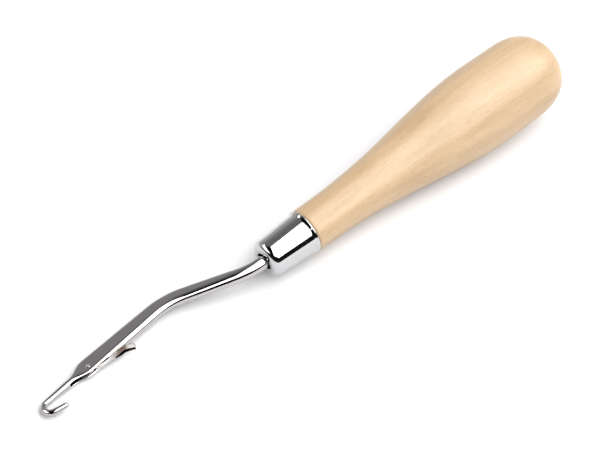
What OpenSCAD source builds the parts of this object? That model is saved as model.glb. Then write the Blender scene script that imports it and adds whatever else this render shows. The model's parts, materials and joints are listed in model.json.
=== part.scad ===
// Latch hook with a turned wooden handle, for pulling yarn through rug canvas.
// Every piece is drawn along the tool's own axis: X runs from the handle to the hook with X = 0 at
// the open rim of the ferrule, Y points to the side where the hook opens, and Z runs along the rivet.
// as_it_lies() then sets the tool down on the plane Z = 0, where it rests on the handle's swell, on
// the hook and on the far edge of the blade's shoulder.

/* [Handle] */
// Length of the handle from the ferrule's rim to the end of the butt
handle_l = 84.6; // [75:0.2:110]
// Diameter of the handle where it meets the ferrule
handle_neck_d = 11.6; // [11.2:0.1:14]
// Largest diameter of the handle
handle_swell_d = 22.5; // [19:0.1:28]
// Distance from the ferrule's rim to the largest diameter
handle_swell_at = 62; // [50:0.5:66]
// How long the slim part holds before it swells: larger holds it longer
handle_swell_ease = 1.22; // [1:0.01:1.6]
// Diameter of the handle where its domed butt begins
handle_butt_d = 22.3; // [18:0.1:26]
// Length of the domed butt
handle_dome_l = 12.9; // [6:0.1:16]
// Fullness of the dome: 2 is an ellipse, larger is squarer
dome_fullness = 2.7; // [2:0.05:3.5]
// Depth of the drilled hole for the tang, from the ferrule's rim
tang_hole_depth = 30; // [28:0.5:50]

/* [Ferrule] */
// Length of the ferrule
ferrule_l = 14.6; // [12:0.1:20]
// Outer diameter at the open rim
ferrule_rim_d = 11.4; // [10.8:0.1:13]
// Outer diameter that the taper comes down to at the nose
ferrule_nose_d = 9.6; // [8.5:0.1:10.6]
// Thickness of the drawn metal
ferrule_wall = 0.4; // [0.3:0.05:0.6]
// Radius of the rounded edge round the nose
ferrule_edge_r = 1.6; // [0.8:0.05:2]
// How far the rim flares out beyond the taper
flare_h = 0.24; // [0.1:0.02:0.4]
// Length over which the rim flares
flare_l = 1.7; // [1:0.1:3]
// Space between the shank and the hole in the nose
nose_gap = 0.5; // [0.2:0.05:0.8]
// Space left between the end of the wood and the inside of the nose
nose_void = 1.2; // [0.3:0.1:2]

/* [Shank] */
// Diameter of the round rod
rod_d = 3.5; // [3:0.05:4]
// Length of the tang inside the ferrule's rim
tang_l = 28; // [20:0.5:34]
// Width across the two pressed wings that stop the tang turning
wing_w = 5.4; // [4.4:0.1:7]
// Thickness of the wings
wing_t = 1.4; // [1:0.1:2]
// Length of the wings
wing_l = 8; // [4:0.5:12]
// Distance from the ferrule's rim to the wings
wing_at = 12; // [6:0.5:20]
// Distance from the ferrule's rim to the first bend
first_bend_at = 15.2; // [15:0.1:22]
// Angle of the first bend, away from the hook's opening
first_bend_angle = 23.5; // [10:0.5:35]
// Radius of the first bend, to the rod's centre
first_bend_r = 16; // [8:0.5:25]
// Straight length between the bends
crank_l = 13.1; // [6:0.1:20]
// Angle that the second bend turns back
second_bend_angle = 30.2; // [15:0.1:40]
// Radius of the second bend, to the rod's centre
second_bend_r = 17; // [8:0.5:25]

/* [Blade] */
// Straight length from the second bend to the hook
blade_l = 33.9; // [28:0.1:45]
// Width of the pressed blade at the rivet
blade_w = 5.1; // [4.6:0.05:5.4]
// Thickness of the pressed blade at the rivet
blade_t = 1.85; // [1.8:0.05:2.5]
// How far the pressed blade's middle lies off the rod's centre line, away from the hook's opening
blade_offset = 0.2; // [0:0.05:0.4]
// Distance from the first bend to where the pressing starts
press_at = 5; // [2:0.5:12]
// Length of the shoulder where the blade narrows to the neck
shoulder_l = 6; // [5:0.1:9]
// Distance from the shoulder's narrow end to the hook's bend
neck_l = 6.7; // [5:0.1:9]
// Diameter of the neck at the shoulder's narrow end
neck_d = 2; // [1.8:0.05:2.3]

/* [Hook] */
// Diameter of the hook's wire
wire_d = 1.55; // [1.3:0.05:1.8]
// Inner radius of the hook
hook_r = 1.25; // [1:0.05:2]
// Angle that the hook turns through
hook_turn = 165; // [150:1:175]
// Straight length from the hook's bend to the tip
hook_point_l = 2.6; // [2:0.1:4]
// Diameter of the wire at the tip
tip_d = 1.3; // [1:0.05:1.5]

/* [Latch] */
// Distance from the hook's bend back to the rivet
pivot_back = 12.8; // [11:0.1:14]
// Distance of the rivet from the rod's centre line, towards the hook's opening
pivot_offset = 0.4; // [0:0.05:0.7]
// Diameter of the rivet
rivet_d = 1.2; // [0.9:0.05:1.4]
// Radial running clearance between the rivet and the latch
latch_running_gap = 0.04; // [0.02:0.01:0.08]
// Radial clearance between the rivet and the blade's cheeks
rivet_seat_gap = 0.01; // [0:0.005:0.03]
// How far each rivet end stands proud of the blade
rivet_proud = 0.1; // [0.04:0.01:0.2]
// Width of the slot sawn for the latch
slot_w = 1; // [0.8:0.05:1.2]
// Radius of the saw that cut the slot
saw_r = 7.4; // [6.5:0.1:9]
// How far the saw cut reaches past the rivet's middle
slot_past_pivot = 1.45; // [1.35:0.05:1.7]
// Distance from the rivet to the saw's centre, towards the hook
saw_ahead = 1.2; // [0.6:0.1:1.4]
// Side clearance of the latch in its slot
latch_side_gap = 0.08; // [0.05:0.01:0.12]
// Outer radius of the latch's eye
eye_r = 1.15; // [1.05:0.05:1.25]
// Thickness of the latch's arm across its swing
arm_h = 0.75; // [0.6:0.05:0.9]
// Width of the spoon
spoon_w = 2.35; // [2:0.05:2.6]
// Depth of the spoon's hollow
spoon_depth = 0.42; // [0.3:0.02:0.6]
// Thickness of the spoon's sheet
spoon_wall = 0.28; // [0.2:0.02:0.34]
// How far the spoon's lip reaches past the tip of the hook
lip_past_tip = 0.4; // [0.3:0.05:1]
// Height that the lip curls up from the spoon's floor
lip_curl = 1.8; // [1.2:0.05:2.2]
// Gap between the open latch and the edge of the blade
latch_rest_gap = 0.08; // [0.05:0.01:0.2]

/* [Hidden] */

wood_gap = 0.05;          // all-round clearance between the wood and the metal that it holds
ring_sides = 24;          // points round the rod's section
arc_step = 3;             // degrees from ring to ring in the two long bends
hook_step = 11;           // degrees from ring to ring round the hook
press_ease = 0.65;        // under 1, the pressing deepens fastest at its start
rim_round = 0.16;         // radius of the turned edge at the ferrule's rim

// Easing from 0 to 1 with level ends
function ease(t) = let (c = max(0, min(1, t))) c * c * (3 - 2 * c);
// Value at t between a and b
function mix(a, b, t) = a + (b - a) * t;

// Radius of the handle at a distance from the ferrule's rim
swell_rise = (handle_swell_d - handle_neck_d) / 2;
butt_fall = (handle_swell_d - handle_butt_d) / 2;
dome_at = handle_l - handle_dome_l;
function handle_r(x) =
    x < handle_swell_at ? handle_neck_d / 2 + swell_rise * pow(sin(90 * pow(x / handle_swell_at, handle_swell_ease)), 2)
    : x < dome_at ? handle_swell_d / 2 - butt_fall * ease((x - handle_swell_at) / (dome_at - handle_swell_at))
    : handle_butt_d / 2 * pow(max(0, 1 - pow((x - dome_at) / handle_dome_l, dome_fullness)), 1 / dome_fullness);

// Outer radius of the ferrule's cone at a distance from its rim
function ferrule_r(x) = mix(ferrule_rim_d, ferrule_nose_d, x / ferrule_l) / 2;
// What the flare adds to it: a parabola that meets the cone at flare_l
function flare(x) = flare_h * pow(max(0, flare_l - x) / (flare_l - rim_round), 2);

// The rod's centre line, as [length, radius] runs: radius 0 is straight and a positive one turns left
hook_mid_r = hook_r + wire_d / 2;
hook_arc_l = hook_mid_r * hook_turn * PI / 180;
runs = [
    [first_bend_r * first_bend_angle * PI / 180, -first_bend_r],
    [crank_l, 0],
    [second_bend_r * second_bend_angle * PI / 180, second_bend_r],
    [blade_l, 0],
    [hook_arc_l, hook_mid_r],
    [hook_point_l, 0],
];
// Distance along the centre line to the start of run i
function run_start(i) = i == 0 ? 0 : run_start(i - 1) + runs[i - 1][0];
// The pose [x, y, heading] reached from pose p after going d along a run of radius r
function move(p, d, r) =
    r == 0 ? [p.x + d * cos(p.z), p.y + d * sin(p.z), p.z]
    : let (h = p.z + d / r * 180 / PI)
      [p.x + r * (sin(h) - sin(p.z)), p.y - r * (cos(h) - cos(p.z)), h];
// The pose at distance s along the centre line
function along(s, i = 0, p = [first_bend_at, 0, 0]) =
    i == len(runs) - 1 || s <= runs[i][0] ? move(p, s, runs[i][1])
    : along(s - runs[i][0], i + 1, move(p, runs[i][0], runs[i][1]));

blade_end = run_start(4);
hook_end = run_start(5);
tip_end = run_start(6);
shoulder_end = blade_end - neck_l;
shoulder_start = shoulder_end - shoulder_l;

// Share of the pressing done at s
function pressed(s) = pow(max(0, min(1, (s - press_at) / (shoulder_start - press_at))), press_ease);
// Width, thickness and offset of the rod's section at s
rod_section = [rod_d, rod_d, 0];
blade_section = [blade_w, blade_t, blade_offset];
neck_section = [neck_d, neck_d, 0];
wire_section = [wire_d, wire_d, 0];
tip_section = [tip_d, tip_d, 0];
function section(s) =
    s < shoulder_start ? mix(rod_section, blade_section, pressed(s))
    : s < shoulder_end ? mix(blade_section, neck_section, ease((s - shoulder_start) / shoulder_l))
    : s < blade_end ? mix(neck_section, wire_section, ease((s - shoulder_end) / neck_l))
    : s < hook_end ? wire_section
    : mix(wire_section, tip_section, (s - hook_end) / hook_point_l);

// A ring of points round the section [w, t, offset], two flats joined by half circles, at pose p
function ring(sec, p) = [
    for (k = [0 : ring_sides - 1])
        let (a = 360 * (k + 0.5) / ring_sides, r = sec[1] / 2, flat = max(0, sec[0] / 2 - r))
        let (across = r * cos(a) + (cos(a) > 0 ? flat : -flat) - sec[2])
        [p.x - across * sin(p.z), p.y + across * cos(p.z), r * sin(a)]
];

// A skin over a list of rings with equal point counts, closed at both ends
module skin(rings) {
    n = len(rings[0]);
    last = len(rings) - 1;
    polyhedron(
        points = [for (r = rings) each r],
        faces = [
            [for (k = [0 : n - 1]) k],
            for (i = [0 : last - 1], k = [0 : n - 1])
                each [
                    [i * n + k, (i + 1) * n + k, (i + 1) * n + (k + 1) % n],
                    [i * n + k, (i + 1) * n + (k + 1) % n, i * n + (k + 1) % n],
                ],
            [for (k = [n - 1 : -1 : 0]) last * n + k],
        ],
        convexity = 8
    );
}

// Revolves an outline of [x, radius] points about the tool's axis
module turned(outline) {
    rotate([90, 0, 90])
        rotate_extrude($fn = 96)
            polygon([for (p = outline) [p.y, p.x]]);
}

// Points of a quarter or other arc: centre, radius, first and last angle
function arc(c, r, a0, a1, steps = 8) = [
    for (i = [0 : steps]) let (a = mix(a0, a1, i / steps)) [c.x + r * cos(a), c.y + r * sin(a)]
];

// Wooden handle, turned with a spigot that fills the ferrule and drilled for the tang
spigot_end = ferrule_l - max(ferrule_wall + nose_void, ferrule_edge_r);
module handle() {
    spigot_r = ferrule_wall + wood_gap;
    body_steps = 44;
    dome_steps = 14;
    color([0.91, 0.78, 0.60])
    difference() {
        turned(concat(
            [[spigot_end, 0], [spigot_end, ferrule_r(spigot_end) - spigot_r]],
            [[0, ferrule_r(0) - spigot_r], [0, handle_neck_d / 2 - 0.25], [-0.25, handle_neck_d / 2]],
            [for (i = [1 : body_steps]) let (x = dome_at * i / body_steps) [-x, handle_r(x)]],
            [for (i = [1 : dome_steps]) let (x = dome_at + handle_dome_l * sin(90 * i / dome_steps)) [-x, handle_r(x)]]
        ));
        translate([-tang_hole_depth, 0, 0])
            rotate([0, 90, 0])
                cylinder(d = rod_d + 2 * wood_gap, h = tang_hole_depth + spigot_end + 1, $fn = 64);
        tang_wings(wood_gap);
    }
}

// The two pressed wings on the tang, grown all round by a clearance
module tang_wings(gap = 0) {
    translate([-wing_at - wing_l - gap, -wing_w / 2 - gap, -wing_t / 2 - gap])
        cube([wing_l + 2 * gap, wing_w + 2 * gap, wing_t + 2 * gap]);
}

// Drawn metal ferrule: a tapered cup with a flared rim, a rounded nose and a hole for the shank
module ferrule() {
    edge_at = ferrule_l - ferrule_edge_r;
    edge_centre_r = ferrule_r(edge_at) - ferrule_edge_r;
    hole_r = rod_d / 2 + nose_gap;
    lip_r = ferrule_wall / 2;
    inner_edge_r = ferrule_edge_r - ferrule_wall;
    flare_steps = 7;
    color([0.78, 0.79, 0.80])
    turned(concat(
        [[0, ferrule_r(0) - ferrule_wall]],
        arc([rim_round, ferrule_r(0) + flare_h - rim_round], rim_round, 180, 96, 5),
        [for (i = [1 : flare_steps]) let (x = mix(rim_round, flare_l, i / flare_steps)) [x, ferrule_r(x) + flare(x)]],
        arc([edge_at, edge_centre_r], ferrule_edge_r, 86, 0, 8),
        arc([ferrule_l - lip_r, hole_r + lip_r], lip_r, 0, -180, 8),
        arc([edge_at, edge_centre_r], inner_edge_r, 0, 86, 6)
    ));
}

// One steel rod: tang, two bends, pressed and slotted blade, neck and hook
module hook_shank() {
    blade_ring_gap = 2;
    overlap = 3;
    stations = concat(
        [-overlap],
        [for (s = [0 : first_bend_r * arc_step * PI / 180 : run_start(1) - 0.01]) s],
        [for (s = [run_start(1) : blade_ring_gap : run_start(2) - 0.01]) s],
        [for (s = [run_start(2) : second_bend_r * arc_step * PI / 180 : run_start(3) - 0.01]) s],
        [run_start(3)],
        [for (s = [run_start(3) + blade_ring_gap : 2 * blade_ring_gap : shoulder_start - 1]) s],
        [for (i = [0 : 9]) shoulder_start + shoulder_l * i / 9],
        [for (i = [1 : 3]) shoulder_end + neck_l * i / 4],
        [for (i = [0 : round(hook_turn / hook_step)]) blade_end + hook_arc_l * i / round(hook_turn / hook_step)],
        [tip_end]
    );
    tip = along(tip_end);
    color([0.70, 0.71, 0.72])
    difference() {
        union() {
            skin(concat(
                [for (s = stations) ring(section(s), along(s))],
                [for (a = [25, 50, 72]) ring(cos(a) * tip_section, move(tip, tip_d / 2 * sin(a), 0))]
            ));
            translate([-tang_l, 0, 0])
                rotate([0, 90, 0])
                    cylinder(d = rod_d, h = tang_l + first_bend_at - overlap, $fn = 64);
            tang_wings();
        }
        in_blade() {
            translate([saw_ahead, saw_r - slot_past_pivot, -slot_w / 2])
                cylinder(r = saw_r, h = slot_w, $fn = 128);
            translate([0, 0, -blade_t])
                cylinder(d = rivet_d + 2 * rivet_seat_gap, h = 2 * blade_t, $fn = 48);
        }
    }
}

// Moves what is drawn about the rivet, with X along the blade towards the hook, to its place
pivot_pose = along(blade_end - pivot_back);
blade_heading = pivot_pose.z;
pivot = [
    pivot_pose.x - pivot_offset * sin(blade_heading),
    pivot_pose.y + pivot_offset * cos(blade_heading),
];
module in_blade() {
    translate([pivot.x, pivot.y, 0])
        rotate([0, 0, blade_heading])
            children();
}

// The latch, drawn open: it leaves its eye at a slope, lies along the blade's edge and curls up at
// its lip. Its frame has U backwards along the blade and V out of the slot.
edge_section = section(blade_end - pivot_back - 8);
blade_edge_v = edge_section[0] / 2 - edge_section[2] - pivot_offset;
hook_tip = along(tip_end);
latch_reach = norm([hook_tip.x - pivot.x, hook_tip.y - pivot.y]) + lip_past_tip;
spoon_floor_v = blade_edge_v + latch_rest_gap + spoon_wall / 2;
lip_v = spoon_floor_v + lip_curl;
lip_u = sqrt(latch_reach * latch_reach - lip_v * lip_v);
spoon_u = 5.2;
curl_l = 2.7;
// Height of the latch's middle line at u
function latch_v(u) =
    u < spoon_u ? spoon_floor_v * sin(90 * ease(0.5 + u / spoon_u / 2) * 2 - 90)
    : spoon_floor_v + lip_curl * pow(max(0, (u - lip_u + curl_l) / curl_l), 1.7);
// Slope of that line, in degrees
function latch_slope(u) = atan2(latch_v(u + 0.05) - latch_v(u - 0.05), 0.1);
// Share of the spoon's full width and hollow reached at u
function spooned(u) = ease((u - 3.9) / 4.4);
function spoon_end(u) = 1 - 0.12 * ease((u - lip_u + 1.6) / 1.6);

// Outline of the spoon's section: a shallow channel of even sheet, or the arm's plain bar before it
function latch_ring(u) =
    let (
        k = spooned(u),
        half = mix((slot_w - 2 * latch_side_gap), spoon_w * spoon_end(u), k) / 2,
        sheet = mix(arm_h, spoon_wall, ease((u - 1.6) / 2.8)),
        hollow = spoon_depth * k,
        tilt = latch_slope(u),
        n = 9,
        top = [for (i = [0 : n]) let (f = 1 - 2 * i / n) [f * half, hollow * f * f + sheet / 2 * (1 - 0.3 * f * f)]],
        low = [for (i = [0 : n]) let (f = 2 * i / n - 1) [f * half, hollow * f * f - sheet / 2 * (1 - 0.3 * f * f)]]
    )
    [for (q = concat(top, low)) [-(u - q.y * sin(tilt)), latch_v(u) + q.y * cos(tilt), q.x]];

module latch() {
    latch_steps = 22;
    start_u = 0.8;
    eye_t = slot_w - 2 * latch_side_gap;
    color([0.66, 0.65, 0.64])
    in_blade()
        difference() {
            union() {
                translate([0, 0, -eye_t / 2])
                    cylinder(r = eye_r, h = eye_t, $fn = 64);
                skin([for (i = [0 : latch_steps]) latch_ring(mix(start_u, lip_u, i / latch_steps))]);
            }
            translate([0, 0, -slot_w])
                cylinder(d = rivet_d + 2 * latch_running_gap, h = 2 * slot_w, $fn = 48);
        }
}

// Rivet through both cheeks and the latch's eye, closed flush with a punched centre at each end
module latch_rivet() {
    half = blade_t / 2 + rivet_proud;
    dimple = 0.22;
    corner = rivet_proud;
    color([0.74, 0.74, 0.75])
    in_blade()
        rotate_extrude($fn = 64)
            polygon([
                [0, -half + dimple],
                [rivet_d * 0.28, -half],
                [rivet_d / 2 - corner, -half],
                [rivet_d / 2, -half + corner],
                [rivet_d / 2, half - corner],
                [rivet_d / 2 - corner, half],
                [rivet_d * 0.28, half],
                [0, half - dimple],
            ]);
}

// Height of the axis at the ferrule's rim that sets the handle's swell on the ground at pitch p
function swell_seat(p) = max([for (x = [30 : 0.5 : handle_l]) handle_r(x) * cos(p) - x * sin(p)]);
// The same for the hook at roll r, whose lowest point lies on its bend
hook_start = along(blade_end);
hook_mid = [hook_start.x - hook_mid_r * sin(hook_start.z), hook_start.y + hook_mid_r * cos(hook_start.z)];
function hook_seat(p, r) =
    hook_mid.x * sin(p) - hook_mid.y * sin(r) * cos(p)
    + hook_mid_r * norm([sin(p), sin(r) * cos(p)]) + wire_d / 2;
// The same for the blade's far edge, where it rounds in to the shoulder
function edge_seat(s, p, r) =
    let (c = along(s), sec = section(s), out = max(0, sec[0] - sec[1]) / 2 + sec[2])
    (c.x + out * sin(c.z)) * sin(p) - (c.y - out * cos(c.z)) * sin(r) * cos(p) + sec[1] / 2;
function shoulder_seat(p, r) = max([for (s = [shoulder_start - 1 : 0.5 : shoulder_end]) edge_seat(s, p, r)]);

// Pitch at which swell and hook both touch at roll r, by halving the span lo to hi
function rest_pitch(r, lo = 0, hi = 12, n = 24) =
    let (m = (lo + hi) / 2)
    n == 0 ? m : swell_seat(m) > hook_seat(m, r) ? rest_pitch(r, m, hi, n - 1) : rest_pitch(r, lo, m, n - 1);
// Roll at which the shoulder's far edge comes down as well
function rest_roll(lo = 0, hi = 30, n = 18) =
    let (m = (lo + hi) / 2, p = rest_pitch(m))
    n == 0 ? m : hook_seat(p, m) > shoulder_seat(p, m) ? rest_roll(m, hi, n - 1) : rest_roll(lo, m, n - 1);
roll = rest_roll();
pitch = rest_pitch(roll);
// Ends of the lying tool along X, from its dome and its hook
butt_x = min([for (i = [0 : 90]) let (x = dome_at + handle_dome_l * sin(i)) -x * cos(pitch) - handle_r(x) * sin(pitch)]);
hook_x = (hook_mid.x + hook_mid_r) * cos(pitch) + wire_d / 2;

// Sets the tool down on Z = 0, with the middle of its length and width at the origin
module as_it_lies() {
    translate([-(butt_x + hook_x) / 2, 0, swell_seat(pitch)])
        rotate([0, pitch, 0])
            rotate([roll, 0, 0])
                children();
}

as_it_lies() handle();
as_it_lies() ferrule();
as_it_lies() hook_shank();
as_it_lies() latch();
as_it_lies() latch_rivet();
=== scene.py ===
import json
import math

import bpy
import numpy as np
from mathutils import Matrix, Vector


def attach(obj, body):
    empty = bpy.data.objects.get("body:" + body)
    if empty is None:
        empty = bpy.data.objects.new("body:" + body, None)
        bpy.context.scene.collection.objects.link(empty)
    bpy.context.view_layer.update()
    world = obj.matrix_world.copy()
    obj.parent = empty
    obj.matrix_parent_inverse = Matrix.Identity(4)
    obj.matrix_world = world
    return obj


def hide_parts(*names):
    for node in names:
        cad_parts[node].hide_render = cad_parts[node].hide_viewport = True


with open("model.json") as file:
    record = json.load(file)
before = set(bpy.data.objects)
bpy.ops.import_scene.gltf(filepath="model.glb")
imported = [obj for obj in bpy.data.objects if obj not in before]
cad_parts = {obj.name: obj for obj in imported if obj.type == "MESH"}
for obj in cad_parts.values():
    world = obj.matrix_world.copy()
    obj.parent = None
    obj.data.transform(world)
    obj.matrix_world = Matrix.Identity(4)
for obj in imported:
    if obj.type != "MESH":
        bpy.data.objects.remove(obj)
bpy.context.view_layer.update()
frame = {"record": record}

# The tool's own frame, in millimetres: x runs along the handle's axis to the hook, from the
# ferrule's open rim, y points to the side where the hook opens, and z runs along the rivet. The
# latch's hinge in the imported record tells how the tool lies.
HINGE = frame["record"]["behaviour"]["joints"][0]
ROLL = math.asin(-HINGE["axis"][1])
PITCH = math.atan2(HINGE["axis"][0], HINGE["axis"][2])
LYING_TURN = Matrix.Rotation(PITCH, 3, "Y") @ Matrix.Rotation(ROLL, 3, "X")


def ease(t):
    """3 t squared less 2 t cubed, held to 0 and 1 outside that span."""
    c = np.clip(t, 0, 1)
    return c * c * (3 - 2 * c)


def mix(a, b, t):
    """The value a share t of the way from a to b."""
    return a + (b - a) * t


# The rod's sizes, in millimetres and degrees, and its centre line: the length and the radius of
# each run from the first bend to the hook's tip, with a radius of 0 for a straight one.
ROD_D = 3.5
FIRST_BEND_AT = 15.2
BLADE_W, BLADE_T, BLADE_OFFSET = 5.1, 1.85, 0.2
PRESS_AT, PRESS_EASE = 5.0, 0.65
SHOULDER_L, NECK_L, SLIM_D = 6.0, 6.7, 2.0
WIRE_D, HOOK_R, HOOK_TURN, POINT_L, TIP_D = 1.55, 1.25, 165.0, 2.6, 1.3
RUNS = [
    (16 * math.radians(23.5), -16.0),
    (13.1, 0.0),
    (17 * math.radians(30.2), 17.0),
    (33.9, 0.0),
    ((HOOK_R + WIRE_D / 2) * math.radians(HOOK_TURN), HOOK_R + WIRE_D / 2),
    (POINT_L, 0.0),
]
STARTS = np.concatenate([[0], np.cumsum([r[0] for r in RUNS])])
BLADE_END, HOOK_END, TIP_END = STARTS[4], STARTS[5], STARTS[6]
SHOULDER_END = BLADE_END - NECK_L
SHOULDER_START = SHOULDER_END - SHOULDER_L
PIVOT_BACK, PIVOT_OFFSET, RIVET_D = 12.8, 0.4, 1.2
SLOT_W, SAW_R, SLOT_PAST_PIVOT, SAW_AHEAD = 1.0, 7.4, 1.45, 1.2
SLOT_BEHIND, SLOT_AHEAD, SLOT_LIP = 6.4, 7.2, 0.06
FLAT_ENDS_SOONER = 0.8
# Where the sections of the hidden tang stand, from its blunt end in the wood.
TANG_STATIONS = [-46.6, -46.2, -30, -10, -3]


def centre_line(s):
    """Place and heading of the rod's centre at distances s: straight before the first bend, then
    each run straight on or round its circle from where the run before it ended."""
    s = np.asarray(s, float)
    x, y, h = FIRST_BEND_AT + np.minimum(s, 0), np.zeros_like(s), np.zeros_like(s)
    px, py, ph = FIRST_BEND_AT, 0.0, 0.0
    for index, (length, radius) in enumerate(RUNS):
        d = np.clip(s - STARTS[index], 0, length if index < len(RUNS) - 1 else None)
        on = s > STARTS[index]
        if radius:
            turn = d / radius
            nx = px + radius * (np.sin(ph + turn) - math.sin(ph))
            ny = py - radius * (np.cos(ph + turn) - math.cos(ph))
            nh = ph + turn
            ex = px + radius * (math.sin(ph + length / radius) - math.sin(ph))
            ey = py - radius * (math.cos(ph + length / radius) - math.cos(ph))
            eh = ph + length / radius
        else:
            nx, ny, nh = px + d * math.cos(ph), py + d * math.sin(ph), ph + 0 * d
            ex, ey, eh = px + length * math.cos(ph), py + length * math.sin(ph), ph
        x, y, h = np.where(on, nx, x), np.where(on, ny, y), np.where(on, nh, h)
        px, py, ph = ex, ey, eh
    return x, y, h


PIVOT_AT = centre_line(BLADE_END - PIVOT_BACK)
PIVOT = Vector(
    (
        PIVOT_AT[0] - PIVOT_OFFSET * math.sin(PIVOT_AT[2]),
        PIVOT_AT[1] + PIVOT_OFFSET * math.cos(PIVOT_AT[2]),
        0.0,
    )
)
LYING_AT = 1000 * Vector(HINGE["pos_m"]) - LYING_TURN @ PIVOT


def lay_down(points):
    """Points of the tool's own frame, in millimetres, rolled about x, pitched about y, and lifted
    on to the table, in metres."""
    turn = np.array(LYING_TURN)
    return (np.asarray(points, float) @ turn.T + np.array(LYING_AT)) / 1000


def skin(rings):
    """Vertices and faces of a closed skin over an array of rings (ring, point, xyz). Every four
    neighbouring points make a face, and each end closes on a middle point."""
    rows, cols, _ = rings.shape
    flat = rings.reshape(-1, 3)
    i, k = np.meshgrid(np.arange(rows - 1), np.arange(cols), indexing="ij")
    n = (k + 1) % cols
    quads = np.stack([i * cols + k, (i + 1) * cols + k, (i + 1) * cols + n, i * cols + n], -1)
    quads = quads.reshape(-1, 4)
    verts = np.vstack([flat, rings[0].mean(0), rings[-1].mean(0)])
    k = np.arange(cols)
    n = (k + 1) % cols
    first = np.stack([np.full(cols, rows * cols), k, n], -1)
    last_row = (rows - 1) * cols
    last = np.stack([np.full(cols, rows * cols + 1), last_row + n, last_row + k], -1)
    return verts, quads, np.vstack([first, last])


def torus_skin(rings):
    """As skin, for rings that come back to the first one, such as a wall turned about an axis."""
    rows, cols, _ = rings.shape
    i, k = np.meshgrid(np.arange(rows), np.arange(cols), indexing="ij")
    j, n = (i + 1) % rows, (k + 1) % cols
    quads = np.stack([i * cols + k, j * cols + k, j * cols + n, i * cols + n], -1)
    return rings.reshape(-1, 3), quads.reshape(-1, 4), np.zeros((0, 3), int)


def outward(verts, quads, tris):
    """The same faces, turned over if the volume that they enclose comes out negative."""
    t = np.vstack([quads[:, [0, 1, 2]], quads[:, [0, 2, 3]], tris])
    p = verts[t]
    volume = np.einsum("ij,ij->i", p[:, 0], np.cross(p[:, 1], p[:, 2])).sum()
    return (quads[:, ::-1], tris[:, ::-1]) if volume < 0 else (quads, tris)


def piece(name, parts, material, body, node, dulled=()):
    """One smooth mesh of one or more closed skins, laid down, riding on its body in place of its
    solid. Each skin's points come in the tool's own frame. The first points take a share of painted
    shade from 0 to 1, given per point, and the rest have none."""
    verts, faces, base = [], [], 0
    for v, q, t in parts:
        q, t = outward(v, q, t)
        verts.append(v)
        faces += (q + base).tolist() + (t + base).tolist()
        base += len(v)
    mesh = bpy.data.meshes.new(name)
    mesh.from_pydata(lay_down(np.vstack(verts)).tolist(), [], faces)
    mesh.polygons.foreach_set("use_smooth", np.ones(len(faces), bool))
    mesh.materials.append(material)
    # Each point's share of painted shade, stored for the plated materials to read.
    shade = np.zeros(base)
    shade[: len(dulled)] = dulled
    mesh.attributes.new("dulled", "FLOAT", "POINT").data.foreach_set("value", shade)
    mesh.update()
    made = bpy.data.objects.new(name, mesh)
    bpy.context.scene.collection.objects.link(made)
    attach(made, body)
    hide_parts(node)
    return made


def turned(outline, around=128):
    """An outline of x and radius turned about the x axis."""
    a = np.linspace(0, 2 * np.pi, around, endpoint=False)
    x, r = outline[:, 0][:, None], outline[:, 1][:, None]
    return np.stack([x + 0 * a, r * np.cos(a), r * np.sin(a)], -1)


def arc(cx, cr, radius, first, last, count):
    """Points of a circle's arc in x and radius, from the first to the last angle in degrees."""
    a = np.radians(np.linspace(first, last, count))
    return np.stack([cx + radius * np.cos(a), cr + radius * np.sin(a)], -1)


def shader(name, **sockets):
    """A new material and its node tree, main shader and a helper that adds a linked node."""
    made = bpy.data.materials.new(name)
    made.use_nodes = True
    tree = made.node_tree
    main = tree.nodes["Principled BSDF"]
    for key, value in sockets.items():
        main.inputs[key.replace("_", " ")].default_value = value

    def add(kind, values=None, **settings):
        node = tree.nodes.new(kind)
        for key, value in settings.items():
            setattr(node, key, value)
        for key, value in (values or {}).items():
            if isinstance(value, bpy.types.NodeSocket):
                tree.links.new(value, node.inputs[key])
            else:
                node.inputs[key].default_value = value
        return node

    return made, tree, main, add


def tool_coordinates(add, stretch=(1, 1, 1)):
    """Object coordinates turned back to the tool's own frame, in millimetres, then divided by the
    stretch along each of its axes."""
    back = LYING_TURN.inverted()
    turned_back = add(
        "ShaderNodeMapping",
        {
            "Vector": add("ShaderNodeTexCoord").outputs["Object"],
            "Scale": (1000, 1000, 1000),
            "Rotation": back.to_euler("XYZ"),
            "Location": -(back @ LYING_AT),
        },
    )
    return add(
        "ShaderNodeMapping",
        {"Vector": turned_back.outputs["Vector"], "Scale": tuple(1 / s for s in stretch)},
    ).outputs["Vector"]


def ramp(add, factor, stops):
    """A colour ramp through (place, colour) stops."""
    node = add("ShaderNodeValToRGB", {"Fac": factor})
    points = node.color_ramp.elements
    while len(points) < len(stops):
        points.new(0.5)
    for point, (place, colour) in zip(points, stops):
        point.position = place
        point.color = (*colour, 1) if len(colour) == 3 else colour
    return node.outputs["Color"]


def mixed(add, factor, first, second, blend="MIX"):
    """Two colours mixed by a factor, which is a number or a socket."""
    node = add(
        "ShaderNodeMix", {0: factor, 6: first, 7: second}, data_type="RGBA", blend_type=blend
    )
    return node.outputs[2]


def shaded(add, factor, colour, shade):
    """A colour multiplied by a share of a shade."""
    return mixed(add, factor, colour, shade, "MULTIPLY")


def noise(add, stretch, detail, roughness=0.5):
    """Cloudy noise whose lumps measure the stretch, in millimetres, along the tool's own axes."""
    values = {
        "Vector": tool_coordinates(add, stretch),
        "Scale": 1.0,
        "Detail": detail,
        "Roughness": roughness,
    }
    return add("ShaderNodeTexNoise", values).outputs["Fac"]


def spread(add, value, low, high):
    """A noise's middle stretch, from 0.3 to 0.7, spread from the low to the high value."""
    values = {"Value": value, "From Min": 0.3, "From Max": 0.7, "To Min": low, "To Max": high}
    return add("ShaderNodeMapRange", values).outputs["Result"]


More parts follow.
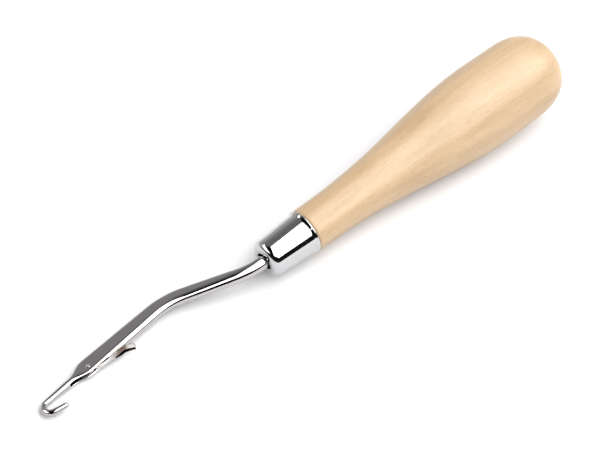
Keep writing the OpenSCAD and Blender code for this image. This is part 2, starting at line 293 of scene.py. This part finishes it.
def bump(add, height, distance, strength=1.0, under=None):
    """A normal bent by a height of so many metres, over the normal from under, if there is one."""
    values = {"Height": height, "Strength": strength, "Distance": distance}
    if under:
        values["Normal"] = under
    return add("ShaderNodeBump", values).outputs["Normal"]


def birch():
    """Pale close-grained hardwood: broad soft bands of growth, fine lines and short ray flecks that
    all run along the handle, under a satin lacquer."""
    made, tree, main, add = shader(
        "birch_lacquered", Roughness=0.42, Coat_Weight=0.25, Coat_Roughness=0.28
    )
    link = tree.links.new
    bands = noise(add, (60, 3.4, 3.4), 3.0, 0.55)
    lines = noise(add, (16, 0.34, 0.34), 2.0, 0.6)
    flecks = noise(add, (1.5, 0.16, 0.3), 1.0)
    body_colour = ramp(
        add,
        bands,
        [
            (0.32, (0.432, 0.294, 0.165)),
            (0.5, (0.482, 0.335, 0.198)),
            (0.66, (0.522, 0.371, 0.224)),
        ],
    )
    line_shade = ramp(add, lines, [(0.36, (0.88, 0.85, 0.80)), (0.56, (1, 1, 1))])
    fleck_shade = ramp(add, flecks, [(0.27, (0.80, 0.72, 0.62)), (0.37, (1, 1, 1))])
    with_lines = shaded(add, 0.5, body_colour, line_shade)
    with_flecks = shaded(add, 0.8, with_lines, fleck_shade)
    link(with_flecks, main.inputs["Base Color"])
    link(spread(add, lines, 0.48, 0.38), main.inputs["Roughness"])
    link(bump(add, lines, 0.00004, 0.12), main.inputs["Normal"])
    return made


def plated(name, colour, rough, waviness, lines_stretch, lines_depth, painted_shade_colour=None):
    """Bright plated metal: a low even roughness with faint cloudy smears, the slow waviness of a
    polished face, and fine lines left by drawing or polishing. Where a point carries painted shade,
    as in a sawn slot or the hollow of the spoon, the colour gives way to a darker painted shade
    colour."""
    made, tree, main, add = shader(name, Metallic=1.0)
    link = tree.links.new
    smears = noise(add, (5, 3, 3), 4.0)
    base = ramp(add, smears, [(0.3, tuple(c * 0.96 for c in colour)), (0.7, colour)])
    # Painted shade: a marked point's colour goes to the painted shade colour, near black in the sawn
    # slot and dark brown in the spoon's hollow, where shade falls.
    if painted_shade_colour:
        dulled = add("ShaderNodeAttribute", attribute_name="dulled").outputs["Fac"]
        base = mixed(add, dulled, base, (*painted_shade_colour, 1))
    link(base, main.inputs["Base Color"])
    link(spread(add, smears, rough * 0.8, rough * 1.3), main.inputs["Roughness"])
    fine = bump(add, noise(add, lines_stretch, 2.0), lines_depth)
    slow = noise(add, (2.5, 1.6, 1.6), 1.0)
    link(bump(add, slow, waviness, under=fine), main.inputs["Normal"])
    return made


BIRCH = birch()
CHROME = plated(
    "chrome_plate",
    colour=(0.57, 0.57, 0.575),
    rough=0.06,
    waviness=0.000002,
    lines_stretch=(0.3, 3, 3),
    lines_depth=0.0000004,
)
# The nickel's near black painted shade colour is painted into the sawn slot, where shade falls.
NICKEL = plated(
    "nickel_steel",
    colour=(0.52, 0.495, 0.497),
    rough=0.07,
    waviness=0.000005,
    lines_stretch=(6, 0.25, 0.25),
    lines_depth=0.0000008,
    painted_shade_colour=(0.03, 0.027, 0.025),
)
# The latch's dark brown painted shade colour is painted into the spoon's hollow, standing in for its
# shade and dark reflections.
LATCH = plated(
    "latch_steel",
    colour=(0.70, 0.68, 0.655),
    rough=0.08,
    waviness=0.000005,
    lines_stretch=(3, 0.2, 0.2),
    lines_depth=0.000001,
    painted_shade_colour=(0.17, 0.125, 0.10),
)

# The handle's and the ferrule's sizes, both measured from the ferrule's rim.
HANDLE_L = 84.6
NECK_D = 11.6
SWELL_D = 22.5
SWELL_AT = 62.0
SWELL_EASE = 1.22
BUTT_D = 22.3
DOME_L = 12.9
DOME_FULLNESS = 2.7
RIM_D = 11.4
NOSE_D = 9.6
WALL = 0.4
TAPER_L, TAPER_SLOPE = 13.0, 0.07
NOSE_AT, NOSE_EDGE_R, HOLE_R = 13.95, 2.0, 2.25
FLARE_FROM, FLARE_SLOPE, FOOT_L = 1.92, 0.5, 0.25
LIP_AT, LIP_R = 0.97, 0.35
SPIGOT_FACE_AT, SHOULDER_AT = 12.0, 0.7


def handle_radius(x):
    """Half the neck's diameter, plus the swell's rise times the squared sine of a quarter turn that
    grows with a power of x; then a slight ease down to the butt; then a squarish ellipse."""
    dome_at = HANDLE_L - DOME_L
    rise = np.sin(np.pi / 2 * np.clip(x / SWELL_AT, 0, 1) ** SWELL_EASE) ** 2
    slim = NECK_D / 2 + (SWELL_D - NECK_D) / 2 * rise
    full = SWELL_D / 2 - (SWELL_D - BUTT_D) / 2 * ease((x - SWELL_AT) / (dome_at - SWELL_AT))
    over = np.clip((x - dome_at) / DOME_L, 0, 1)
    dome = BUTT_D / 2 * (1 - over**DOME_FULLNESS) ** (1 / DOME_FULLNESS)
    return np.where(x < SWELL_AT, slim, np.where(x < dome_at, full, dome))


def cone_r(x):
    """Outer radius of the ferrule's straight taper."""
    return mix(RIM_D, NOSE_D, x / TAPER_L) / 2


def handle_outline():
    """From the spigot's face inside the ferrule, over the shoulder at the rim, to the butt."""
    along_body = np.linspace(0.5, HANDLE_L - DOME_L, 120)
    over_dome = HANDLE_L - DOME_L + DOME_L * np.sin(np.radians(np.linspace(1.5, 89.5, 50)))
    x = np.concatenate([along_body, over_dome])
    neck_r = NECK_D / 2
    start = [
        [SPIGOT_FACE_AT, cone_r(SPIGOT_FACE_AT) - WALL - 0.1],
        [SHOULDER_AT, cone_r(SHOULDER_AT) - WALL - 0.05],
        [0.59, cone_r(SHOULDER_AT) - WALL - 0.02],
        [0.57, neck_r - 0.35],
        [0.50, neck_r - 0.20],
        [0.35, neck_r - 0.09],
        [0.15, neck_r - 0.02],
        [-0.1, neck_r],
    ]
    return np.vstack([start, np.stack([-x, handle_radius(x)], -1)])


def ferrule_outline():
    """The wall's outside from the rim's rolled lip to the nose, round its edge, into the hole and
    back inside: an arc, a short straight flare, a blend as the square of the distance, a straight
    taper, an arc, a small arc round the hole's lip, and the same again a wall's thickness inside."""
    lean = math.degrees(math.atan(FLARE_SLOPE))
    foot = np.linspace(FLARE_FROM - FOOT_L, FLARE_FROM, 10)
    growth = (FLARE_SLOPE - TAPER_SLOPE) / (2 * FOOT_L)
    foot_r = cone_r(foot) + growth * (FLARE_FROM - foot) ** 2
    lip_x = LIP_AT + LIP_R * math.sin(math.radians(lean))
    lip_r = foot_r[0] + FLARE_SLOPE * (foot[0] - lip_x)
    lip_centre = lip_r - LIP_R * math.cos(math.radians(lean))
    nose_x = NOSE_AT - NOSE_EDGE_R
    nose_r = cone_r(nose_x) - NOSE_EDGE_R
    x = np.linspace(FLARE_FROM, nose_x, 30)[1:]
    half_wall = WALL / 2
    return np.vstack(
        [
            arc(LIP_AT, lip_centre, LIP_R, 170, 90 - lean, 18),
            np.stack([foot, foot_r], -1),
            np.stack([x, cone_r(x)], -1),
            arc(nose_x, nose_r, NOSE_EDGE_R, 84, 0, 28),
            arc(NOSE_AT - half_wall, HOLE_R + half_wall, half_wall, 0, -180, 14),
            arc(nose_x, nose_r, NOSE_EDGE_R - WALL, 0, 86, 8),
            [[LIP_AT - LIP_R + 0.02, cone_r(0.6) - WALL]],
        ]
    )


def section(s):
    """Width, thickness and sideways offset of the rod at s: round, then pressed wider and thinner
    by a power of the distance up to the shoulder, eased in to the slim neck, eased down to the
    hook's wire, and last in a straight taper to its tip."""
    s = np.asarray(s, float)[..., None]
    rod, blade = np.array([ROD_D, ROD_D, 0]), np.array([BLADE_W, BLADE_T, BLADE_OFFSET])
    pressed = np.clip((s - PRESS_AT) / (SHOULDER_START - PRESS_AT), 0, 1) ** PRESS_EASE
    size = mix(rod, blade, pressed)
    shoulder = ease((s - SHOULDER_START) / (SHOULDER_L - FLAT_ENDS_SOONER))
    size = mix(size, np.array([SLIM_D, SLIM_D, 0]), shoulder)
    size = mix(size, np.array([WIRE_D, WIRE_D, 0]), ease((s - SHOULDER_END) / NECK_L))
    size = mix(size, np.array([TIP_D, TIP_D, 0]), np.clip((s - HOOK_END) / POINT_L, 0, 1))
    return size[..., 0], size[..., 1], size[..., 2]


def shank_rings():
    """Sections along the centre line. Each is two half circles joined by flats, walked at even
    steps from one lip of the latch's slot round to the other; a short row of points then crosses
    the slot, down one wall, over the floor and up, or lies on the round where there is no slot.
    With them comes a 1 for each point down in the sawn slot, which marks painted shade there."""
    outer, lip, half = 64, SLOT_LIP, SLOT_W / 2
    pivot_s = BLADE_END - PIVOT_BACK
    ends = [pivot_s - SLOT_BEHIND, pivot_s + SLOT_AHEAD]
    s = np.concatenate(
        [
            TANG_STATIONS,
            np.linspace(-2, STARTS[1], 26)[:-1],
            np.linspace(STARTS[1], STARTS[2], 18)[:-1],
            np.linspace(STARTS[2], STARTS[3], 34)[:-1],
            np.linspace(STARTS[3], ends[0], 30)[:-1],
            np.linspace(ends[0], ends[1], 150)[:-1],
            np.linspace(ends[1], BLADE_END, 14)[:-1],
            np.linspace(BLADE_END, HOOK_END, 50)[:-1],
            np.linspace(HOOK_END, TIP_END, 10),
        ]
    )
    w, t, offset = section(s)
    over = np.radians([9, 18, 27, 36, 45, 54, 63, 72, 80, 86])
    s = np.concatenate([s, TIP_END + TIP_D / 2 * np.sin(over)])
    w = np.concatenate([w, TIP_D * np.cos(over)])
    t = np.concatenate([t, TIP_D * np.cos(over)])
    offset = np.concatenate([offset, 0 * over])[:, None]
    w[0], t[0] = w[0] - 0.8, t[0] - 0.8
    x, y, h = centre_line(s)
    w, t = w[:, None], t[:, None]
    r, flat = t / 2, np.maximum(w - t, 0) / 2
    reach = np.minimum(half + lip, 0.62 * r)
    start = np.arcsin(reach / r)
    quarter = r * (np.pi / 2 - start)
    total = 2 * quarter + 4 * flat + np.pi * r
    d = total * np.linspace(0, 1, outer)[None, :]
    a1 = start + d / r
    d2 = d - quarter - 2 * flat
    a3 = np.pi / 2 + d2 / r
    d4 = d2 - np.pi * r - 2 * flat
    a5 = 1.5 * np.pi + d4 / r
    first, second, third = d < quarter, (d >= quarter) & (d2 < 0), (d2 >= 0) & (d2 < np.pi * r)
    fourth, fifth = (d2 >= np.pi * r) & (d4 < 0), d4 >= 0
    across = np.select(
        [first, second, third, fourth, fifth],
        [
            flat + r * np.cos(a1),
            flat - (d - quarter),
            -flat + r * np.cos(a3),
            -flat + (d2 - np.pi * r),
            flat + r * np.cos(a5),
        ],
    )
    up = np.select(
        [first, second, third, fourth, fifth],
        [r * np.sin(a1), r + 0 * d, r * np.sin(a3), -r + 0 * d, r * np.sin(a5)],
    )
    u = (s - pivot_s)[:, None]
    saw = SAW_R**2 - (u - SAW_AHEAD) ** 2
    deep_at = SAW_R - SLOT_PAST_PIVOT - np.sqrt(np.maximum(saw, 0))
    floor = np.where(saw > 0, deep_at, 99) + PIVOT_OFFSET + offset
    shares = np.array([-1, -1, -1, -0.5, 0, 0.5, 1, 1, 1])[None, :]
    level = np.array([0, 0.5, 1, 1, 1, 1, 1, 0.5, 0])[None, :]
    even = reach * np.linspace(-1, 1, shares.shape[1] + 2)[None, 1:-1]

    def surface_at(z):
        """How far the rod's round edge stands out at the height z."""
        return flat + np.sqrt(np.maximum(r**2 - z**2, 0))

    cut = floor < surface_at(np.minimum(half, reach)) - lip
    z = np.where(cut, half * shares, even)
    top = surface_at(z)
    deep = np.where(level > 0, mix(top - lip, floor, level), top - lip)
    inner = np.where(cut, deep, np.minimum(top, floor))
    across = np.concatenate([across, inner], 1) - offset
    up = np.concatenate([up, z], 1)
    side = np.stack([x, y, h], -1)[:, None, :]
    # Points on the slot's walls and floor are marked for near black painted shade.
    sawn = np.concatenate([np.zeros((len(s), outer)), np.where(cut & (level > 0), 1.0, 0.0)], 1)
    rings = np.stack(
        [
            side[..., 0] - across * np.sin(side[..., 2]),
            side[..., 1] + across * np.cos(side[..., 2]),
            up,
        ],
        -1,
    )
    return rings, sawn.ravel()


def in_blade(points):
    """Points drawn about the rivet, with x along the blade to the hook, moved to their place."""
    c, s = math.cos(PIVOT_AT[2]), math.sin(PIVOT_AT[2])
    p = np.asarray(points, float)
    x, y = p[..., 0] * c - p[..., 1] * s, p[..., 0] * s + p[..., 1] * c
    return np.stack([x, y, p[..., 2]], -1) + np.array(PIVOT)


# The latch's sizes. Its u runs from the rivet back along the blade, and its v away from it.
SIDE_GAP, REST_GAP = 0.08, 0.08
EYE_R, ARM_H, SPOON_W, SPOON_DEPTH, SPOON_WALL = 1.15, 0.75, 2.35, 0.42, 0.28
LIP_PAST_TIP, LIP_CURL, CURL_L, SPOON_U = 0.4, 1.8, 2.7, 5.2
EDGE_W, _, EDGE_OFFSET = section(BLADE_END - PIVOT_BACK - 8.0)
BLADE_EDGE_V = EDGE_W / 2 - EDGE_OFFSET - PIVOT_OFFSET
FLOOR_V = BLADE_EDGE_V + REST_GAP + SPOON_WALL / 2


def latch_reach():
    """Distance from the rivet to the hook's tip, plus what the lip reaches past it."""
    tip = centre_line(TIP_END)
    return float(np.hypot(tip[0] - PIVOT.x, tip[1] - PIVOT.y)) + LIP_PAST_TIP


LIP_V = FLOOR_V + LIP_CURL
LIP_U = math.sqrt(latch_reach() ** 2 - LIP_V**2)


def latch_height(u):
    """Height of the latch's middle line above the rivet: it climbs out of the slot, runs along the
    blade's edge and curls up at the lip."""
    climb = FLOOR_V * np.sin(np.pi * ease(0.5 + u / SPOON_U / 2) - np.pi / 2)
    curl = FLOOR_V + LIP_CURL * np.maximum(0, (u - LIP_U + CURL_L) / CURL_L) ** 1.7
    return np.where(u < SPOON_U, climb, curl)


def latch_rings():
    """Sections across the latch: the arm's bar, which widens into a shallow channel of thin sheet
    whose hollow grows with the square of the distance from its middle. With them comes each point's
    share of painted shade in the hollow, from 0 to 1."""
    along_arm, along_curl = np.linspace(0.7, LIP_U - 3, 60), np.linspace(LIP_U - 2.92, LIP_U, 40)
    u = np.concatenate([along_arm, along_curl])[:, None]
    k = ease((u - 3.9) / 4.4)
    spoon_w = SPOON_W * (1 - 0.12 * ease((u - LIP_U + 1.6) / 1.6))
    half = mix(SLOT_W - 2 * SIDE_GAP, spoon_w, k) / 2
    sheet = mix(ARM_H, SPOON_WALL, ease((u - 1.6) / 2.8))
    hollow = SPOON_DEPTH * k
    slope = np.arctan2(latch_height(u + 0.02) - latch_height(u - 0.02), 0.04)
    a = np.radians(np.linspace(0, 360, 56, endpoint=False))[None, :]
    f = np.sign(np.cos(a)) * np.abs(np.cos(a)) ** 0.55
    g = np.sign(np.sin(a)) * np.abs(np.sin(a)) ** 0.55
    z = f * half
    off = hollow * f**2 + g * sheet / 2
    # Painted shade in the spoon's hollow: full over its upper face, fading out at its rims and
    # before the lip.
    hollow_shade = np.where(g > 0, 1 - np.abs(f) ** 6, 0) * k * ease((LIP_U - 0.9 - u) / 1.2)
    rings = np.stack([-(u - off * np.sin(slope)), latch_height(u) + off * np.cos(slope), z], -1)
    return rings, hollow_shade.ravel()


def eye_rings():
    """The eye: a flat ring with a bore for the rivet, its outer corners slightly eased."""
    t, bore, soft = SLOT_W / 2 - SIDE_GAP, RIVET_D / 2 + 0.04, 0.08
    outline = np.array(
        [
            [bore, -t],
            [EYE_R - soft, -t],
            [EYE_R, -t + soft],
            [EYE_R, t - soft],
            [EYE_R - soft, t],
            [bore, t],
        ]
    )
    a = np.linspace(0, 2 * np.pi, 64, endpoint=False)[:, None]
    r, z = outline[:, 0], outline[:, 1]
    return np.stack([r * np.cos(a), r * np.sin(a), z + 0 * a], -1)


def rivet_rings():
    """The rivet turned about its own axis: a flush pin whose ends are closed over with a rounded
    corner and a punched centre."""
    top = BLADE_T / 2 + 0.1
    r = RIVET_D / 2
    corner = np.radians(np.linspace(0, 90, 6))
    half = np.vstack(
        [
            [[r, 0.0]],
            np.stack([r - 0.1 + 0.1 * np.cos(corner), top - 0.1 + 0.1 * np.sin(corner)], -1),
            [[r * 0.62, top], [r * 0.5, top - 0.02], [r * 0.3, top - 0.12], [r * 0.12, top - 0.19]],
        ]
    )
    outline = np.vstack([half[::-1] * [1, -1], half[1:]])
    a = np.linspace(0, 2 * np.pi, 64, endpoint=False)[None, :]
    r, z = outline[:, 0][:, None], outline[:, 1][:, None]
    return np.stack([r * np.cos(a), r * np.sin(a), z + 0 * a], -1)


piece("handle_wood", [skin(turned(handle_outline()))], BIRCH, "tool", "handle")
piece(
    "ferrule_cup",
    [torus_skin(turned(ferrule_outline()).transpose(1, 0, 2))],
    CHROME,
    "tool",
    "ferrule",
)
rod, sawn = shank_rings()
piece("shank_and_hook", [skin(rod)], NICKEL, "tool", "hook_shank", sawn)
spoon, hollow_shade = latch_rings()
piece(
    "latch_spoon",
    [skin(in_blade(spoon)), torus_skin(in_blade(eye_rings()))],
    LATCH,
    "latch_body",
    "latch",
    hollow_shade,
)
piece("rivet_pin", [skin(in_blade(rivet_rings()))], NICKEL, "tool", "latch_rivet")


# The floor, the light and the camera, which looks along AWAY and down.
RIGHT = Vector((-0.7474, 0.6644, 0.0))
AWAY = Vector((-0.6644, -0.7474, 0.0))
LOOKS_DOWN = math.radians(46.8)
WALL_GREYS = [(0.0, 0.70), (0.17, 0.61), (0.34, 0.50), (0.53, 0.335), (0.67, 0.255), (0.8, 0.20)]
BOX_HEIGHT = 0.6
BOX_AWAY = (-0.72, 0.42)


def floor():
    """A flat pale sheet, one grid of points, that ends a hand's length past the tool's near side."""
    right = np.linspace(-1.2, 0.45, 5)
    away = np.linspace(-0.35, 1.2, 5)
    r, a = (v[..., None] for v in np.meshgrid(right, away, indexing="ij"))
    grid = r * np.array(RIGHT) + a * np.array(AWAY) - np.array([0, 0, 0.00002])
    flat = grid.reshape(-1, 3)
    i, k = np.meshgrid(np.arange(4), np.arange(4), indexing="ij")
    corner, beyond = i * 5 + k, (i + 1) * 5 + k
    quads = np.stack([corner, corner + 1, beyond + 1, beyond], -1).reshape(-1, 4)
    mesh = bpy.data.meshes.new("floor")
    mesh.from_pydata(flat.tolist(), [], quads.tolist())
    if mesh.polygons[0].normal.z < 0:
        mesh.flip_normals()
    white = shader("floor_white", Base_Color=(0.74, 0.74, 0.75, 1), Roughness=0.9)[0]
    mesh.materials.append(white)
    plane = bpy.data.objects.new("floor", mesh)
    bpy.context.scene.collection.objects.link(plane)


def soft_box(name, right, away, height, radiance):
    """A soft box overhead: a glowing rectangle that faces down, from its span to the right and its
    span away from the camera, in metres."""
    lamp = bpy.data.lights.new(name, "AREA")
    lamp.shape = "RECTANGLE"
    lamp.size, lamp.size_y = right[1] - right[0], away[1] - away[0]
    lamp.energy = radiance * math.pi * lamp.size * lamp.size_y
    made = bpy.data.objects.new(name, lamp)
    made.location = RIGHT * sum(right) / 2 + AWAY * sum(away) / 2 + Vector((0, 0, height))
    made.rotation_euler = (0, 0, math.atan2(RIGHT.y, RIGHT.x))
    bpy.context.scene.collection.objects.link(made)
    return made


def surroundings():
    """The room: a grey wall on the far side, paler towards the floor, and a dark one elsewhere."""
    world = bpy.data.worlds.new("studio")
    bpy.context.scene.world = world
    world.use_nodes = True
    tree = world.node_tree
    back = tree.nodes["Background"]
    where = tree.nodes.new("ShaderNodeTexCoord")
    split = tree.nodes.new("ShaderNodeSeparateXYZ")
    tree.links.new(where.outputs["Generated"], split.inputs[0])
    wall = tree.nodes.new("ShaderNodeValToRGB")
    tree.links.new(split.outputs["Z"], wall.inputs["Fac"])
    stops = wall.color_ramp.elements
    while len(stops) < len(WALL_GREYS):
        stops.new(0.5)
    for stop, (place, grey) in zip(stops, WALL_GREYS):
        stop.position = place
        stop.color = (grey, grey, grey * 1.01, 1)
    dot = tree.nodes.new("ShaderNodeVectorMath")
    dot.operation = "DOT_PRODUCT"
    tree.links.new(where.outputs["Generated"], dot.inputs[0])
    dot.inputs[1].default_value = AWAY
    facing = tree.nodes.new("ShaderNodeMapRange")
    facing.inputs["From Min"].default_value = 0.05
    facing.inputs["From Max"].default_value = 0.35
    facing.inputs["To Min"].default_value = 0.02
    tree.links.new(dot.outputs["Value"], facing.inputs["Value"])
    tree.links.new(wall.outputs["Color"], back.inputs["Color"])
    tree.links.new(facing.outputs["Result"], back.inputs["Strength"])


floor()
surroundings()
soft_box("box_right", (0.0, 1.4), BOX_AWAY, BOX_HEIGHT, 4.4)
soft_box("box_left", (-1.9, -0.62), BOX_AWAY, BOX_HEIGHT, 3.0)

optics = bpy.data.cameras.new("camera")
optics.lens = 100
optics.sensor_width = 36
camera = bpy.data.objects.new("camera", optics)
camera.location = (0.1853 + LYING_AT.x / 1000, 0.2059, 0.30405)
look = AWAY.normalized() * math.cos(LOOKS_DOWN)
look.z = -math.sin(LOOKS_DOWN)
camera.rotation_euler = look.to_track_quat("-Z", "Y").to_euler()
bpy.context.scene.collection.objects.link(camera)
bpy.context.scene.camera = camera
bpy.context.scene.view_settings.view_transform = "Standard"
